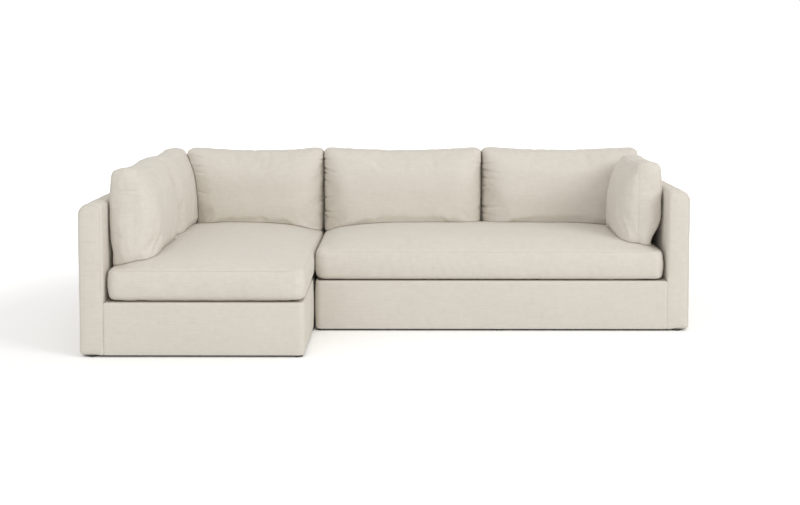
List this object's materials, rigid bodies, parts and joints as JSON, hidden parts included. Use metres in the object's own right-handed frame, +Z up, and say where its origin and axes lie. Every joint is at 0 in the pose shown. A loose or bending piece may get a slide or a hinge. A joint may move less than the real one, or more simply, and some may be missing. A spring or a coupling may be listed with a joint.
{
  "type": "sectional sofa with chaise",
  "caption": "Low upholstered sectional sofa: a deep chaise module with a long arm, hooked to a bench-seat module with a short arm, both with loose seat, back and side cushions.",
  "frame": {"origin": "on the floor, at the middle of the bounding box of the footprint", "axes": "+X along the sofa towards the short arm, -Y towards the front of the chaise, +Z up"},
  "size_m": [3, 1.65, 0.8839],
  "materials": {
    "cushion_fabric": "slubby linen weave, warm oatmeal, matte",
    "body_fabric": "the same slubby linen weave drawn tight over padding",
    "foam": "cream open-cell foam, matte",
    "frame_wood": "raw planed hardwood, unfinished",
    "webbing": "brown jute-look elastic webbing with a stripe",
    "deck_cloth": "plain tightly woven cotton",
    "dust_cloth": "thin black non-woven cloth",
    "glide_plastic": "dark moulded plastic",
    "connector_steel": "bright zinc-plated pressed steel",
    "zip_metal": "enamelled in the colour of the fabric"
  },
  "bodies": {
    "chaise": {"chaise_base_rails": "frame_wood", "chaise_cross_slats": "frame_wood", "chaise_corner_blocks": "frame_wood", "chaise_webbing": "webbing", "chaise_deck_cloth": "deck_cloth", "chaise_base_cover": "body_fabric", "chaise_arm_frame": "frame_wood", "chaise_arm_cover": "body_fabric", "chaise_back_frame": "frame_wood", "chaise_back_cover": "body_fabric", "chaise_frame_ties": "frame_wood", "chaise_dust_cloth": "dust_cloth", "chaise_glides": "glide_plastic", "connector_sockets": "connector_steel"},
    "sofa": {"sofa_base_rails": "frame_wood", "sofa_cross_slats": "frame_wood", "sofa_corner_blocks": "frame_wood", "sofa_webbing": "webbing", "sofa_deck_cloth": "deck_cloth", "sofa_base_cover": "body_fabric", "sofa_arm_frame": "frame_wood", "sofa_arm_cover": "body_fabric", "sofa_back_frame": "frame_wood", "sofa_back_cover": "body_fabric", "sofa_frame_ties": "frame_wood", "sofa_dust_cloth": "dust_cloth", "sofa_glides": "glide_plastic", "connector_hooks": "connector_steel"},
    "chaise_seat": {"chaise_seat_cover": "cushion_fabric", "chaise_seat_core": "foam"},
    "chaise_seat_zip": {"chaise_seat_zip_slider": "zip_metal"},
    "bench_seat": {"bench_seat_cover": "cushion_fabric", "bench_seat_core": "foam"},
    "bench_seat_zip": {"bench_seat_zip_slider": "zip_metal"},
    "corner_back": {"corner_back_cover": "cushion_fabric", "corner_back_core": "foam"},
    "corner_back_zip": {"corner_back_zip_slider": "zip_metal"},
    "middle_back": {"middle_back_cover": "cushion_fabric", "middle_back_core": "foam"},
    "middle_back_zip": {"middle_back_zip_slider": "zip_metal"},
    "right_back": {"right_back_cover": "cushion_fabric", "right_back_core": "foam"},
    "right_back_zip": {"right_back_zip_slider": "zip_metal"},
    "front_side": {"front_side_cover": "cushion_fabric", "front_side_core": "foam"},
    "front_side_zip": {"front_side_zip_slider": "zip_metal"},
    "rear_side": {"rear_side_cover": "cushion_fabric", "rear_side_core": "foam"},
    "rear_side_zip": {"rear_side_zip_slider": "zip_metal"},
    "arm_side": {"arm_side_cover": "cushion_fabric", "arm_side_core": "foam"},
    "arm_side_zip": {"arm_side_zip_slider": "zip_metal"}
  },
  "joints": [
    {"name": "sofa_unhook", "type": "slide", "parent": "chaise", "child": "sofa", "axis": [0, 0, 1], "range_m": [0, 0.06]},
    {"name": "chaise_seat_lift", "type": "slide", "parent": "chaise", "child": "chaise_seat", "axis": [0, 0, 1], "range_m": [0, 0.5]},
    {"name": "bench_seat_lift", "type": "slide", "parent": "sofa", "child": "bench_seat", "axis": [0, 0, 1], "range_m": [0, 0.5]},
    {"name": "corner_back_lift", "type": "slide", "parent": "chaise_seat", "child": "corner_back", "axis": [0, 0, 1], "range_m": [0, 0.46]},
    {"name": "front_side_lift", "type": "slide", "parent": "chaise_seat", "child": "front_side", "axis": [0, 0, 1], "range_m": [0, 0.46]},
    {"name": "rear_side_lift", "type": "slide", "parent": "chaise_seat", "child": "rear_side", "axis": [0, 0, 1], "range_m": [0, 0.46]},
    {"name": "middle_back_lift", "type": "slide", "parent": "bench_seat", "child": "middle_back", "axis": [0, 0, 1], "range_m": [0, 0.46]},
    {"name": "right_back_lift", "type": "slide", "parent": "bench_seat", "child": "right_back", "axis": [0, 0, 1], "range_m": [0, 0.46]},
    {"name": "arm_side_lift", "type": "slide", "parent": "bench_seat", "child": "arm_side", "axis": [0, 0, 1], "range_m": [0, 0.46]},
    {"name": "chaise_seat_unzip", "type": "slide", "parent": "chaise_seat", "child": "chaise_seat_zip", "axis": [1, 0, 0], "range_m": [0, 0.66]},
    {"name": "bench_seat_unzip", "type": "slide", "parent": "bench_seat", "child": "bench_seat_zip", "axis": [1, 0, 0], "range_m": [0, 1.528]},
    {"name": "corner_back_unzip", "type": "slide", "parent": "corner_back", "child": "corner_back_zip", "axis": [1, 0, 0], "range_m": [0, 0.428]},
    {"name": "middle_back_unzip", "type": "slide", "parent": "middle_back", "child": "middle_back_zip", "axis": [1, 0, 0], "range_m": [0, 0.6265]},
    {"name": "right_back_unzip", "type": "slide", "parent": "right_back", "child": "right_back_zip", "axis": [1, 0, 0], "range_m": [0, 0.6185]},
    {"name": "front_side_unzip", "type": "slide", "parent": "front_side", "child": "front_side_zip", "axis": [0, 1, 0], "range_m": [0, 0.415]},
    {"name": "rear_side_unzip", "type": "slide", "parent": "rear_side", "child": "rear_side_zip", "axis": [0, 1, 0], "range_m": [0, 0.415]},
    {"name": "arm_side_unzip", "type": "slide", "parent": "arm_side", "child": "arm_side_zip", "axis": [0, -1, 0], "range_m": [0, 0.287]}
  ]
}
